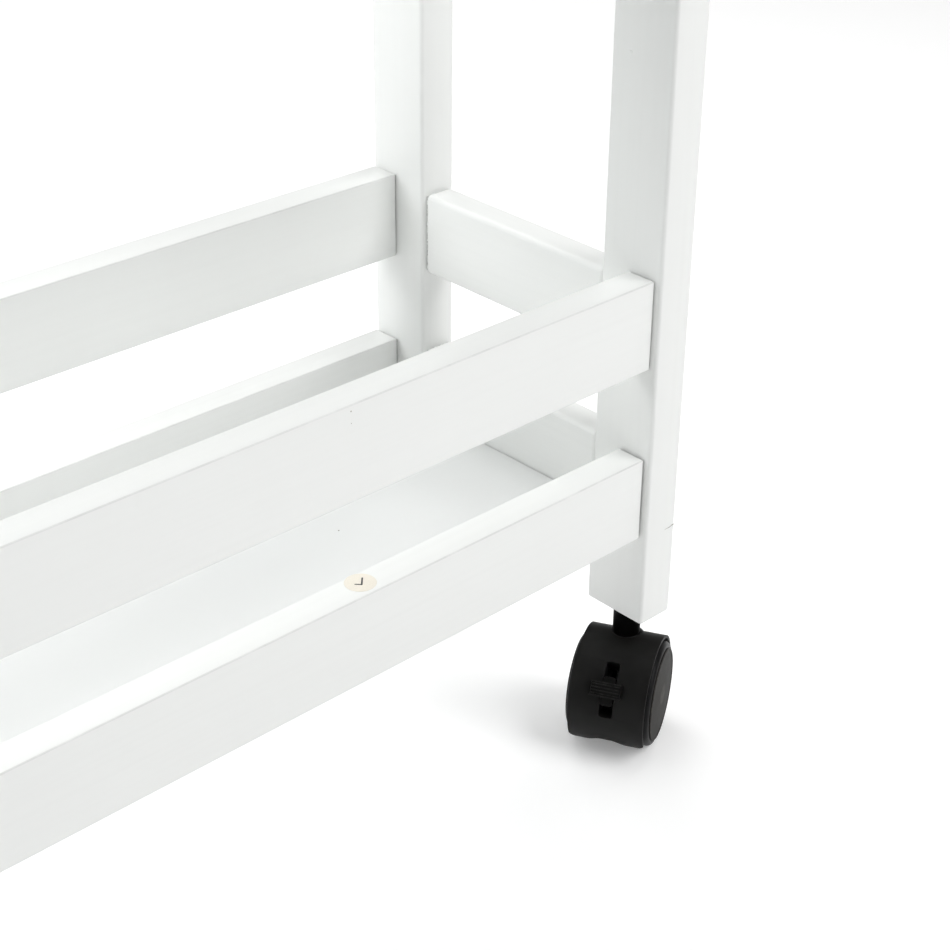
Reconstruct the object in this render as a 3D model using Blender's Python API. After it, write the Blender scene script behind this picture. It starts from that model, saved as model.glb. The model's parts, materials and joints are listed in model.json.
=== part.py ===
"""A slim rolling pantry cart.

Four painted wooden posts carry three trays. Each tray is a thin shelf between two pairs of long
rails and two pairs of end rails. Under each post stands a hooded twin-wheel caster, and the two
casters at the front have a brake lever in a slot in the hood.

Metres, +Z up. The origin is on the floor under the middle of the cart. +X runs along the cart to
its right-hand end, and -Y is the front.
"""

import math

import bmesh
import bpy
from mathutils import Matrix, Vector

# The wooden frame
LENGTH = 0.5436  # over the posts
DEPTH = 0.1877  # over the posts
POST_X = 0.0201
POST_Y = 0.0350
POST_ROUND = 0.0016
POST_FOOT = 0.0699  # the posts' feet above the floor
POST_HEIGHT = 0.806
PITCH = 0.310  # from one tray to the next
TRAYS = ("bottom", "middle", "top")
GAP = 0.0003  # between pieces that touch

# Long rails, heights from the posts' feet
RAIL_THICK = 0.0153
RAIL_LOW = (0.0470, 0.0885)
RAIL_HIGH = (0.1336, 0.1759)
RAIL_ROUND = 0.0008
RAIL_END_GAP = 0.0005
FRONT_INSET = 0.0034  # of the front rails behind the posts' front faces
BACK_INSET = 0.0012
REBATE = 0.0060  # how far a shelf reaches under the low rails

# End rails
END_THICK = 0.0160
END_SETBACK = 0.00175  # of the inner face behind the posts' inner faces
END_LOW = (0.0478, 0.0888)
END_HIGH = (0.1299, 0.1703)
END_ROUND = 0.0020

# Shelves
SHELF_TOP = 0.0532
SHELF_THICK = 0.0050
SHELF_SEAM = 0.0006  # open line between a shelf and an end rail

# Casters
WHEEL_R = 0.0258
WHEEL_IN = 0.0033  # inner face from the middle of the caster
WHEEL_OUT = 0.0212
WHEEL_DOME = 0.0005
SHOULDER = 0.0177  # where the tread starts to curve in
RIM_OUT = 0.0203  # where it ends, round the raised cap
RIM_R = 0.0236
CAP_R = 0.0227
WHEEL_STEPS = 36
TRAIL = 0.0070  # the axle off the swivel axis
HOOD_R = 0.0286
HOOD_THICK = 0.0014
HOOD_HALF = 0.0185
HOOD_FROM = math.radians(-80)
HOOD_TO = math.radians(126)
HUB_R = 0.0075
WEB_HALF = 0.0030
NECK_R = 0.0066
NECK_STEPS = 24
AXLE_R = 0.0025
AXLE_HALF = 0.0157
RUNNING = 0.0001  # radial clearance of what turns on a pin
PIN_R = 0.0040  # the stem's pin
PIN_UP = 0.0280  # its length inside the post
PIN_DOWN = 0.0140  # its length inside the neck
COLLAR_R = 0.0064
COLLAR_THICK = 0.0011

# Brake lever. Angles run about the axle, from straight up towards the lever's side.
SLOT_HALF = 0.0033
SLOT_FROM = math.radians(32.0)
SLOT_TO = math.radians(87.8)
SLOT_IN = 0.0207
BRAKE_AT = math.radians(60.75)
BRAKE_SPREAD = math.radians(13.75)
BRAKE_HALF = 0.0029
BRAKE_PLATE = 0.0008
LEVER_HUB = 0.0052
BRAKE_ARM = 0.0035
TAB_LEFT = -0.0087
TAB_RIGHT = 0.0065
TAB_SPREAD = math.radians(6.6)
TAB_THICK = 0.0025

POST_X_AT = (LENGTH - POST_X) / 2
POST_Y_AT = (DEPTH - POST_Y) / 2
INSIDE = LENGTH / 2 - POST_X  # the posts' inner faces
# Each caster: where it stands, the way its axle points, and whether it has a brake
CASTERS = {
    "front_right": (POST_X_AT, -POST_Y_AT, -61.4, True),
    "front_left": (-POST_X_AT, -POST_Y_AT, -80.0, True),
    "back_right": (POST_X_AT, POST_Y_AT, 100.0, False),
    "back_left": (-POST_X_AT, POST_Y_AT, 118.6, False),
}

MATERIALS = {
    "frame_paint": ((0.84, 0.85, 0.84), 0.42, 0.0),
    "shelf_paint": ((0.88, 0.89, 0.88), 0.35, 0.0),
    "caster_plastic": ((0.018, 0.018, 0.017), 0.45, 0.0),
    "wheel_plastic": ((0.035, 0.033, 0.031), 0.50, 0.0),
    "zinc_steel": ((0.42, 0.42, 0.43), 0.35, 1.0),
    "black_steel": ((0.03, 0.029, 0.028), 0.5, 1.0),
}


def clear_scene():
    for obj in list(bpy.data.objects):
        bpy.data.objects.remove(obj)


def make_materials():
    made = {}
    for name, (colour, roughness, metallic) in MATERIALS.items():
        material = bpy.data.materials.new(name)
        material.use_nodes = True
        shader = material.node_tree.nodes["Principled BSDF"]
        shader.inputs["Base Color"].default_value = (*colour, 1.0)
        shader.inputs["Roughness"].default_value = roughness
        shader.inputs["Metallic"].default_value = metallic
        made[name] = material
    return made


def mesh_of(name, shape):
    bmesh.ops.recalc_face_normals(shape, faces=shape.faces)
    mesh = bpy.data.meshes.new(name)
    shape.to_mesh(mesh)
    shape.free()
    return mesh


def place(name, mesh, material=None, parent=None, at=(0, 0, 0)):
    obj = bpy.data.objects.new(name, mesh)
    obj.location = at
    obj.parent = parent
    if material:
        mesh.materials.clear()
        mesh.materials.append(material)
    bpy.context.collection.objects.link(obj)
    return obj


def box(name, size):
    """A box about its own middle."""
    shape = bmesh.new()
    bmesh.ops.create_cube(shape, size=1.0, matrix=Matrix.Diagonal((*size, 1.0)))
    return mesh_of(name, shape)


def prism(name, outline, start, end):
    """An outline in the YZ plane, run along X from start to end."""
    shape = bmesh.new()
    face = shape.faces.new([shape.verts.new((start, y, z)) for y, z in outline])
    run = bmesh.ops.extrude_face_region(shape, geom=[face])
    verts = [item for item in run["geom"] if isinstance(item, bmesh.types.BMVert)]
    bmesh.ops.translate(shape, verts=verts, vec=(end - start, 0, 0))
    return mesh_of(name, shape)


def turned(name, profile, axis, steps):
    """A profile of (distance along the axis, radius) points, turned about the X or the Z axis."""
    shape = bmesh.new()
    along = Vector((1, 0, 0)) if axis == "X" else Vector((0, 0, 1))
    out = Vector((0, 0, 1)) if axis == "X" else Vector((1, 0, 0))
    verts = [shape.verts.new(along * run + out * radius) for run, radius in profile]
    edges = [shape.edges.new(pair) for pair in zip(verts, verts[1:])]
    bmesh.ops.spin(
        shape,
        geom=verts + edges,
        cent=(0, 0, 0),
        axis=along,
        angle=2 * math.pi,
        steps=steps,
        use_merge=True,
    )
    bmesh.ops.remove_doubles(shape, verts=shape.verts, dist=1e-6)
    return mesh_of(name, shape)


def rod(name, radius, start, end, axis, steps):
    return turned(name, [(start, 0), (start, radius), (end, radius), (end, 0)], axis, steps)


def arc(radius, start, end, steps):
    """Points about the axle. Angles run from straight up towards -Y."""
    turns = [start + (end - start) * step / steps for step in range(steps + 1)]
    return [(-radius * math.sin(turn), radius * math.cos(turn)) for turn in turns]


def sector(inner, outer, start, end, steps):
    return arc(outer, start, end, steps) + arc(inner, end, start, steps)


def tongue(turn, hub, far, half_far):
    """A round hub about the axle with a tapered strip that runs out from it at an angle."""
    quarter = math.pi / 2
    spread = math.atan2(half_far, far)
    reach = math.hypot(half_far, far)
    ends = arc(reach, turn - spread, turn + spread, 1)
    return arc(hub, turn + quarter, turn + 3 * quarter, 12) + ends


def carved(body, joined, removed):
    """The mesh left when solids are joined to a body and then others are cut from it."""
    base = place("base", body)
    tools = []
    for operation, meshes in (("UNION", joined), ("DIFFERENCE", removed)):
        for mesh in meshes:
            tool = place("tool", mesh)
            tools.append(tool)
            step = base.modifiers.new(mesh.name, "BOOLEAN")
            step.operation = operation
            step.solver = "EXACT"
            step.object = tool
    bpy.context.view_layer.update()
    graph = bpy.context.evaluated_depsgraph_get()
    mesh = bpy.data.meshes.new_from_object(base.evaluated_get(graph))
    for obj in (base, *tools):
        bpy.data.objects.remove(obj)
    return mesh


def smooth(mesh):
    mesh.shade_smooth()
    mesh.set_sharp_from_angle(angle=math.radians(35))
    return mesh


def moved(mesh, offset):
    mesh.transform(Matrix.Translation(offset))
    return mesh


def rounded(mesh, width, segments):
    """Rounds a mesh's outward corners and leaves its inward ones."""
    shape = bmesh.new()
    shape.from_mesh(mesh)
    bmesh.ops.bevel(
        shape,
        geom=[edge for edge in shape.edges if edge.is_convex],
        offset=width,
        segments=segments,
        profile=0.5,
        affect="EDGES",
    )
    return mesh_of(mesh.name, shape)


def make_posts(paint):
    bore = rod("bore", PIN_R + GAP, -0.001, PIN_UP + GAP, "Z", NECK_STEPS)
    stick = rounded(box("post", (POST_X, POST_Y, POST_HEIGHT)), POST_ROUND, 2)
    moved(stick, (0, 0, POST_HEIGHT / 2))
    for corner, (x, y, _, _) in CASTERS.items():
        post = place(f"post_{corner}", stick, paint, at=(x, y, POST_FOOT))
        cutter = place(f"post_{corner}_bore", bore, at=post.location)
        cutter.hide_render = True
        cutter.display_type = "WIRE"
        cut = post.modifiers.new("Stem bore", "BOOLEAN")
        cut.operation = "DIFFERENCE"
        cut.solver = "EXACT"
        cut.object = cutter


def rail_outline(low, high, rebated):
    """A long rail's section. Y runs from its outer face at 0 to its inner face."""
    if not rebated:
        return [(0, low), (RAIL_THICK, low), (RAIL_THICK, high), (0, high)]
    step = SHELF_TOP + GAP
    return [
        (0, low),
        (RAIL_THICK - REBATE, low),
        (RAIL_THICK - REBATE, step),
        (RAIL_THICK, step),
        (RAIL_THICK, high),
        (0, high),
    ]


def make_long_rails(tray, base, paint):
    half = INSIDE - RAIL_END_GAP
    sides = {"front": (1, -DEPTH / 2 + FRONT_INSET), "back": (-1, DEPTH / 2 - BACK_INSET)}
    for side, (inward, face) in sides.items():
        for level, (low, high) in (("low", RAIL_LOW), ("high", RAIL_HIGH)):
            outline = [(inward * y, z) for y, z in rail_outline(low, high, level == "low")]
            mesh = rounded(prism("rail", outline, -half, half), RAIL_ROUND, 1)
            place(f"{tray}_rail_{side}_{level}", mesh, paint, at=(0, face, base))


def make_end_rails(tray, base, paint):
    length = DEPTH - 2 * POST_Y - 2 * GAP
    for side, way in (("right", 1), ("left", -1)):
        x = way * (INSIDE + END_SETBACK + END_THICK / 2)
        for level, (low, high) in (("low", END_LOW), ("high", END_HIGH)):
            mesh = rounded(box("end_rail", (END_THICK, length, high - low)), END_ROUND, 2)
            at = (x, 0, base + (low + high) / 2)
            place(f"{tray}_end_{side}_{level}", mesh, paint, at=at)


def make_shelf(tray, base, paint):
    """A thin board with its corners notched round the posts."""
    long_half = INSIDE + END_SETBACK - SHELF_SEAM
    notch_x = INSIDE - GAP
    notch_y = DEPTH / 2 - POST_Y - GAP
    front = -DEPTH / 2 + FRONT_INSET + RAIL_THICK - REBATE + GAP
    back = DEPTH / 2 - BACK_INSET - RAIL_THICK + REBATE - GAP
    outline = [
        (notch_x, front),
        (notch_x, -notch_y),
        (long_half, -notch_y),
        (long_half, notch_y),
        (notch_x, notch_y),
        (notch_x, back),
        (-notch_x, back),
        (-notch_x, notch_y),
        (-long_half, notch_y),
        (-long_half, -notch_y),
        (-notch_x, -notch_y),
        (-notch_x, front),
    ]
    shape = bmesh.new()
    face = shape.faces.new([shape.verts.new((x, y, 0)) for x, y in outline])
    run = bmesh.ops.extrude_face_region(shape, geom=[face])
    verts = [item for item in run["geom"] if isinstance(item, bmesh.types.BMVert)]
    bmesh.ops.translate(shape, verts=verts, vec=(0, 0, -SHELF_THICK))
    place(f"{tray}_shelf", mesh_of("shelf", shape), paint, at=(0, 0, base + SHELF_TOP))


def stem_mesh():
    """The blackened steel pin about the swivel axis, with Z from the post's foot."""
    collar = -GAP - COLLAR_THICK
    profile = [
        (collar - PIN_DOWN, 0),
        (collar - PIN_DOWN, PIN_R),
        (collar, PIN_R),
        (collar, COLLAR_R),
        (-GAP, COLLAR_R),
        (-GAP, PIN_R),
        (PIN_UP - 0.0015, PIN_R),
        (PIN_UP, PIN_R - 0.0012),
        (PIN_UP, 0),
    ]
    return smooth(turned("stem", profile, "Z", NECK_STEPS))


def hood_mesh(braked):
    """The cover, the web between the wheels and the neck, about the axle."""
    outline = arc(HOOD_R, HOOD_FROM, HOOD_TO, 28)
    outline += arc(HUB_R, math.radians(150), math.radians(255), 6)
    neck_top = POST_FOOT - WHEEL_R - 2 * GAP - COLLAR_THICK
    bore_foot = neck_top - PIN_DOWN
    bore_r = PIN_R + RUNNING
    profile = [
        (0.0200, 0),
        (0.0200, NECK_R),
        (neck_top, NECK_R),
        (neck_top, bore_r),
        (bore_foot, bore_r),
        (bore_foot, 0),
    ]
    neck = turned("neck", profile, "Z", NECK_STEPS)
    removed = [
        rod("wheel space a", HOOD_R - HOOD_THICK, WEB_HALF, 0.03, "X", 48),
        rod("wheel space b", HOOD_R - HOOD_THICK, -0.03, -WEB_HALF, "X", 48),
        rod("axle bore", AXLE_R + GAP, -0.01, 0.01, "X", 24),
    ]
    if braked:
        slot = sector(SLOT_IN, 0.032, SLOT_FROM, SLOT_TO, 8)
        sweep = (SLOT_FROM + SLOT_TO) / 2
        slit = BRAKE_PLATE + GAP
        removed += [
            prism("slot", slot, -SLOT_HALF, SLOT_HALF),
            prism("lever slit", tongue(sweep, LEVER_HUB + GAP, 0.0215, 0.0096), -slit, slit),
        ]
    body = prism("cover", outline, -HOOD_HALF, HOOD_HALF)
    return smooth(carved(body, [moved(neck, (0, TRAIL, 0))], removed))


def wheel_mesh(way):
    """A wheel about the axle, with a blind bore. Its outer face looks along way * X."""
    edge = 0.0008
    profile = [
        (0.0160, 0),
        (0.0160, AXLE_R + RUNNING),
        (WHEEL_IN, AXLE_R + RUNNING),
        (WHEEL_IN, WHEEL_R - edge),
        (WHEEL_IN + edge, WHEEL_R),
        (SHOULDER, WHEEL_R),
        ((SHOULDER + 2 * RIM_OUT) / 3, WHEEL_R - edge),
        (RIM_OUT, RIM_R),
        (RIM_OUT, CAP_R),
        (WHEEL_OUT - edge / 2, CAP_R),
        (WHEEL_OUT, CAP_R - edge / 2),
        (WHEEL_OUT + WHEEL_DOME * 0.6, CAP_R * 0.6),
        (WHEEL_OUT + WHEEL_DOME, CAP_R * 0.25),
        (WHEEL_OUT + WHEEL_DOME, 0),
    ]
    mirrored = [(way * run, radius) for run, radius in profile]
    return smooth(turned("wheel", mirrored, "X", WHEEL_STEPS))


def brake_mesh():
    """The lever about the axle: a hub and arm in the slit, a block in the slot and a tab outside."""
    arm = tongue(BRAKE_AT, LEVER_HUB, 0.0240, BRAKE_ARM)
    start = BRAKE_AT - BRAKE_SPREAD
    end = BRAKE_AT + BRAKE_SPREAD
    block = sector(SLOT_IN + 0.0005, HOOD_R + 0.0008, start, end, 4)
    tab_start = BRAKE_AT - 0.025 - TAB_SPREAD
    tab = sector(
        HOOD_R + GAP,
        HOOD_R + GAP + TAB_THICK,
        tab_start,
        tab_start + 2 * TAB_SPREAD,
        2,
    )
    lever = prism("lever", arm, -BRAKE_PLATE, BRAKE_PLATE)
    joined = [
        prism("block", block, -BRAKE_HALF, BRAKE_HALF),
        prism("tab", tab, TAB_LEFT, TAB_RIGHT),
    ]
    bore = rod("bore", AXLE_R + RUNNING, -0.01, 0.01, "X", 24)
    return smooth(carved(lever, joined, [bore]))


def make_casters(paints):
    stem = stem_mesh()
    hoods = {braked: hood_mesh(braked) for braked in (True, False)}
    axle = smooth(rod("axle", AXLE_R, -AXLE_HALF, AXLE_HALF, "X", 24))
    wheels = {"a": wheel_mesh(1), "b": wheel_mesh(-1)}
    brake = brake_mesh()
    for corner, (x, y, yaw, braked) in CASTERS.items():
        name = f"caster_{corner}"
        place(f"{name}_stem", stem, paints["black_steel"], at=(x, y, POST_FOOT))
        swivel = bpy.data.objects.new(f"{name}_swivel", None)
        swivel.location = (x, y, 0)
        swivel.rotation_euler.z = math.radians(yaw)
        bpy.context.collection.objects.link(swivel)
        at = (0, -TRAIL, WHEEL_R)
        place(f"{name}_hood", hoods[braked], paints["caster_plastic"], swivel, at)
        place(f"{name}_axle", axle, paints["zinc_steel"], swivel, at)
        for side, mesh in wheels.items():
            place(f"{name}_wheel_{side}", mesh, paints["wheel_plastic"], swivel, at)
        if braked:
            place(f"{name}_brake", brake, paints["caster_plastic"], swivel, at)


def main():
    clear_scene()
    paints = make_materials()
    make_posts(paints["frame_paint"])
    for number, tray in enumerate(TRAYS):
        base = POST_FOOT + number * PITCH
        make_long_rails(tray, base, paints["frame_paint"])
        make_end_rails(tray, base, paints["frame_paint"])
        make_shelf(tray, base, paints["shelf_paint"])
    make_casters(paints)


main()
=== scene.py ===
"""Rolling pantry cart: the looks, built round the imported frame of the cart.

Each operator makes one kind of piece in the place and at the size of its part in the frame, and
main() runs them in order. Sizes are in metres. +X runs along the cart, -Y is its front.
"""

import json
import math

import bmesh
import bpy
from bpy.props import FloatProperty, FloatVectorProperty, IntProperty, PointerProperty
from mathutils import Matrix, Vector


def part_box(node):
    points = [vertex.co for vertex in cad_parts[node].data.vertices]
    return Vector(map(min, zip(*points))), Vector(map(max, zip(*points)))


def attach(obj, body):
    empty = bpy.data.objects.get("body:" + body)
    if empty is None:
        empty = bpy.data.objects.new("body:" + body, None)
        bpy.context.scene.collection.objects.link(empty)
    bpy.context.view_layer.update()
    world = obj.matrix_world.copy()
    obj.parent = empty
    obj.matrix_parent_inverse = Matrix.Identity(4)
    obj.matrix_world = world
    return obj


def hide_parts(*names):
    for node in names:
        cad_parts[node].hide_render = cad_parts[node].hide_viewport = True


bl_info = {
    "name": "Rolling Pantry Cart",
    "version": (1, 0, 0),
    "blender": (4, 5, 0),
    "location": "3D View > Sidebar > Pantry Cart",
    "description": "Builds a slim white wooden cart with three railed trays on hooded casters",
    "category": "Add Mesh",
}

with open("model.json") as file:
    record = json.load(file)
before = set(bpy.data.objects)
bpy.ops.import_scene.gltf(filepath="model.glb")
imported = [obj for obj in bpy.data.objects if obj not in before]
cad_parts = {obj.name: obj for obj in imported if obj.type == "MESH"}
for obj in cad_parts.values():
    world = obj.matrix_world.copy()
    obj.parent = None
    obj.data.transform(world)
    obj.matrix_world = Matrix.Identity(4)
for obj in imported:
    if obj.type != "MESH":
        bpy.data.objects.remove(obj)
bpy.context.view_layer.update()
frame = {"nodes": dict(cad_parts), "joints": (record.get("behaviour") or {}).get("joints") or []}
JOINTS = {joint["name"]: joint for joint in frame["joints"]}

TRAYS = ("bottom", "middle", "top")
CORNERS = ("front_right", "front_left", "back_right", "back_left")
BRAKED = tuple(corner for corner in CORNERS if f"caster_{corner}_brake" in frame["nodes"])
NEUTRAL, COOL, WARM = (1.0, 1.0, 1.0), (0.95, 0.985, 1.0), (1.0, 0.985, 0.95)
# Each lamp's place, diameter, power in watts and tint
LAMPS = {
    "front_lamp": ((0.0, -2.6, 1.2), 2.0, 7.5, NEUTRAL),
    "left_lamp": ((-2.7, 0.0, 1.2), 2.0, 8.0, COOL),
    "left_back_lamp": ((-2.0, 1.9, 1.2), 2.0, 16.0, COOL),
    "right_lamp": ((2.7, 0.4, 1.2), 2.0, 5.0, WARM),
    "back_lamp": ((0.0, 2.7, 1.4), 2.0, 11.0, NEUTRAL),
    "high_back_lamp": ((0.7, 1.8, 2.3), 2.0, 27.0, NEUTRAL),
    "high_front_lamp": ((0.9, -1.8, 2.2), 2.0, 48.0, NEUTRAL),
    "near_lamp": ((0.6, 0.05, 1.6), 0.8, 4.3, NEUTRAL),
    "near_left_lamp": ((-0.7, 0.45, 0.8), 0.7, 5.3, NEUTRAL),
}
LAMPS_FACE = Vector((0.0, 0.0, 0.35))
CAMERA_AT = (-0.32635, -0.58905, 0.58513)
CAMERA_TURN = (60.6755, -1.2903, -44.5112)
CAMERA_SHIFT = (-0.0545, -0.0176)


# Settings

COLOUR_RANGE = {"size": 3, "min": 0.0, "max": 1.0}


class WoodSettings(bpy.types.PropertyGroup):
    post_round: FloatProperty(
        name="Post rounding",
        description="Radius along the edges of the posts",
        default=0.0018,
        unit="LENGTH",
    )
    rail_round: FloatProperty(
        name="Rail rounding",
        description="Radius along the edges of the long rails",
        default=0.0007,
        unit="LENGTH",
    )
    end_round: FloatProperty(
        name="End rail rounding",
        description="Radius along the softer edges of the end rails",
        default=0.0026,
        unit="LENGTH",
    )
    shelf_round: FloatProperty(
        name="Shelf rounding",
        description="Radius along the edges of the shelves",
        default=0.0004,
        unit="LENGTH",
    )
    rebate: FloatProperty(
        name="Rebate",
        description="How far a shelf reaches under the low rails",
        default=0.0060,
        unit="LENGTH",
    )
    joint_depth: FloatProperty(
        name="Joint line depth",
        description="How far the line between a rail and a post lies under the surface",
        default=0.0010,
        unit="LENGTH",
    )
    paint_colour: FloatVectorProperty(
        name="Paint",
        description="Colour of the paint on the posts and the rails",
        default=(0.875, 0.885, 0.87),
        subtype="COLOR",
        **COLOUR_RANGE,
    )
    shelf_colour: FloatVectorProperty(
        name="Shelf",
        description="Colour of the lacquered shelf board",
        default=(0.905, 0.915, 0.91),
        subtype="COLOR",
        **COLOUR_RANGE,
    )
    # Painted shadow: the dark colour of the plates in the open joints of the low front rails.
    low_joint_shadow_colour: FloatVectorProperty(
        name="Bare joint",
        description="Colour in the open joints of the low front rails",
        default=(0.045, 0.040, 0.034),
        subtype="COLOR",
        **COLOUR_RANGE,
    )
    # Painted shadow: the grey colour of the plates in the thin joints of the high front rails.
    high_joint_shadow_colour: FloatVectorProperty(
        name="Thin joint",
        description="Colour in the thin joints of the high front rails",
        default=(0.24, 0.23, 0.21),
        subtype="COLOR",
        **COLOUR_RANGE,
    )
    paint_roughness: FloatProperty(
        name="Paint roughness",
        description="How dull the paint is",
        default=0.42,
        min=0.0,
        max=1.0,
        subtype="FACTOR",
    )


class CasterSettings(bpy.types.PropertyGroup):
    hood_radius: FloatProperty(
        name="Hood radius",
        description="Outside radius of the cover over the wheels",
        default=0.0286,
        unit="LENGTH",
    )
    hood_thickness: FloatProperty(
        name="Hood thickness",
        description="Wall thickness of the cover",
        default=0.0014,
        unit="LENGTH",
    )
    hood_half: FloatProperty(
        name="Hood half width",
        description="Half the width of the cover along the axle",
        default=0.0185,
        unit="LENGTH",
    )
    neck_radius: FloatProperty(
        name="Neck radius",
        description="Radius of the neck between the cover and the post",
        default=0.0066,
        unit="LENGTH",
    )
    slot_half: FloatProperty(
        name="Slot half width",
        description="Half the width of the slot for the brake lever",
        default=0.0033,
        unit="LENGTH",
    )
    rib_count: IntProperty(
        name="Grip ribs",
        description="Raised ribs on the brake tab",
        default=4,
        min=1,
        max=9,
    )
    hood_colour: FloatVectorProperty(
        name="Hood",
        description="Colour of the moulded cover and the brake lever",
        default=(0.0070, 0.0069, 0.0066),
        subtype="COLOR",
        **COLOUR_RANGE,
    )
    tread_colour: FloatVectorProperty(
        name="Tread",
        description="Colour of the wheels' treads",
        default=(0.006, 0.0062, 0.0064),
        subtype="COLOR",
        **COLOUR_RANGE,
    )
    cap_colour: FloatVectorProperty(
        name="Wheel cap",
        description="Colour of the greyer caps on the wheels",
        default=(0.024, 0.0225, 0.0208),
        subtype="COLOR",
        **COLOUR_RANGE,
    )


class LabelSettings(bpy.types.PropertyGroup):
    diameter: FloatProperty(
        name="Diameter",
        description="Diameter of the round paper label",
        default=0.0132,
        unit="LENGTH",
    )
    from_post: FloatProperty(
        name="From the post",
        description="From the right-hand post's inner face to the middle of the label",
        default=0.1594,
        unit="LENGTH",
    )
    from_front: FloatProperty(
        name="From the front",
        description="From the rail's front face to the middle of the label",
        default=0.0088,
        unit="LENGTH",
    )
    paper_colour: FloatVectorProperty(
        name="Paper",
        description="Colour of the label's paper",
        default=(0.88, 0.83, 0.73),
        subtype="COLOR",
        **COLOUR_RANGE,
    )
    ink_colour: FloatVectorProperty(
        name="Ink",
        description="Colour of the pen mark on the label",
        default=(0.02, 0.018, 0.02),
        subtype="COLOR",
        **COLOUR_RANGE,
    )


class StageSettings(bpy.types.PropertyGroup):
    floor_colour: FloatVectorProperty(
        name="Floor",
        description="Colour of the floor",
        default=(0.93, 0.93, 0.93),
        subtype="COLOR",
        **COLOUR_RANGE,
    )
    room_light: FloatProperty(
        name="Room light",
        description="Strength of the even light from all round",
        default=0.03,
        min=0.0,
    )
    lamp_power: FloatProperty(
        name="Lamp power",
        description="Multiplies the power of every soft lamp",
        default=1.0,
        min=0.0,
    )
    floor_glow: FloatProperty(
        name="Floor glow",
        description="Light that the floor gives off by itself",
        default=0.20,
        min=0.0,
    )
    lens: FloatProperty(
        name="Lens",
        description="Focal length of the camera on a 36 mm sensor, in millimetres",
        default=73.67,
        min=1.0,
    )


class PantryCartSettings(bpy.types.PropertyGroup):
    wood: PointerProperty(type=WoodSettings)
    caster: PointerProperty(type=CasterSettings)
    label: PointerProperty(type=LabelSettings)
    stage: PointerProperty(type=StageSettings)


def settings():
    return bpy.context.scene.pantry_cart


# Shapes


def placed(name, data):
    """A new object in the scene."""
    obj = bpy.data.objects.new(name, data)
    bpy.context.scene.collection.objects.link(obj)
    return obj


def face_width(face):
    longest = max(edge.calc_length() for edge in face.edges)
    return face.calc_area() / longest if longest else 0.0


def finish_mesh(name, shape, material, smooth_angle=30.0, strip=0.0006):
    """Turns a bmesh into an object with smooth shading, and marks its rounded edges.

    A point is on a rounded edge where every face round it is a strip narrower than the given one.
    """
    bmesh.ops.recalc_face_normals(shape, faces=shape.faces)
    layer = shape.verts.layers.float.new("edge")
    for vert in shape.verts:
        vert[layer] = 1.0 if all(face_width(face) < strip for face in vert.link_faces) else 0.0
    mesh = bpy.data.meshes.new(name)
    shape.to_mesh(mesh)
    shape.free()
    mesh.materials.append(material)
    mesh.shade_smooth()
    mesh.set_sharp_from_angle(angle=math.radians(smooth_angle))
    return placed(name, mesh)


def round_edges(shape, edges, radius, segments):
    bmesh.ops.bevel(
        shape,
        geom=edges,
        offset=radius,
        segments=segments,
        profile=0.5,
        affect="EDGES",
    )


def block_shape(low, high, radius, segments):
    """A block between two corners with all its edges rounded."""
    size = high - low
    place = Matrix.Translation((low + high) / 2) @ Matrix.Diagonal((*size, 1.0))
    shape = bmesh.new()
    bmesh.ops.create_cube(shape, size=1.0, matrix=place)
    round_edges(shape, shape.edges[:], radius, segments)
    return shape


def thicken(shape, verts, run_by):
    """Runs the face between the points along a vector."""
    face = shape.faces.new(verts)
    run = bmesh.ops.extrude_face_region(shape, geom=[face])
    tops = [item for item in run["geom"] if isinstance(item, bmesh.types.BMVert)]
    bmesh.ops.translate(shape, verts=tops, vec=run_by)


def extruded_shape(outline, start, end, axis="X"):
    """An outline run along an axis: (y, z) points along X, or (x, y) points along Z."""
    shape = bmesh.new()
    if axis == "X":
        verts = [shape.verts.new((start, y, z)) for y, z in outline]
        run_by = Vector((end - start, 0, 0))
    else:
        verts = [shape.verts.new((x, y, start)) for x, y in outline]
        run_by = Vector((0, 0, end - start))
    thicken(shape, verts, run_by)
    bmesh.ops.recalc_face_normals(shape, faces=shape.faces)
    return shape


def round_outward(shape, radius, segments):
    outward = [edge for edge in shape.edges if edge.is_convex]
    round_edges(shape, outward, radius, segments)


def turned_shape(profile, axis, steps):
    """A profile of (distance along the axis, radius) points, turned about X or Z."""
    shape = bmesh.new()
    along = Vector((1, 0, 0)) if axis == "X" else Vector((0, 0, 1))
    out = Vector((0, 0, 1)) if axis == "X" else Vector((1, 0, 0))
    verts = [shape.verts.new(along * run + out * radius) for run, radius in profile]
    edges = [shape.edges.new(pair) for pair in zip(verts, verts[1:])]
    bmesh.ops.spin(
        shape,
        geom=verts + edges,
        cent=(0, 0, 0),
        axis=along,
        angle=2 * math.pi,
        steps=steps,
        use_merge=True,
    )
    bmesh.ops.remove_doubles(shape, verts=shape.verts, dist=1e-6)
    bmesh.ops.recalc_face_normals(shape, faces=shape.faces)
    return shape


def drum(start, end, radius, steps):
    """A cylinder along the axle."""
    profile = [(start, 0), (start, radius), (end, radius), (end, 0)]
    return turned_shape(profile, "X", steps)


def arc(radius, start, end, steps):
    """Points about the axle, in degrees from straight up towards the brake's side."""
    turns = [math.radians(start + (end - start) * step / steps) for step in range(steps + 1)]
    return [(-radius * math.sin(turn), radius * math.cos(turn)) for turn in turns]


def sector(inner, outer, start, end, steps):
    return arc(outer, start, end, steps) + arc(inner, end, start, steps)


def joined_rows(shape, rows):
    """Closes four-cornered rows of points into one solid, with a face at each end."""
    for first, second in zip(rows, rows[1:]):
        for one in range(4):
            two = (one + 1) % 4
            shape.faces.new((first[one], first[two], second[two], second[one]))
    shape.faces.new(rows[0][::-1])
    shape.faces.new(rows[-1])
    return shape


def moved(shape, offset):
    bmesh.ops.translate(shape, verts=shape.verts, vec=offset)
    return shape


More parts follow.
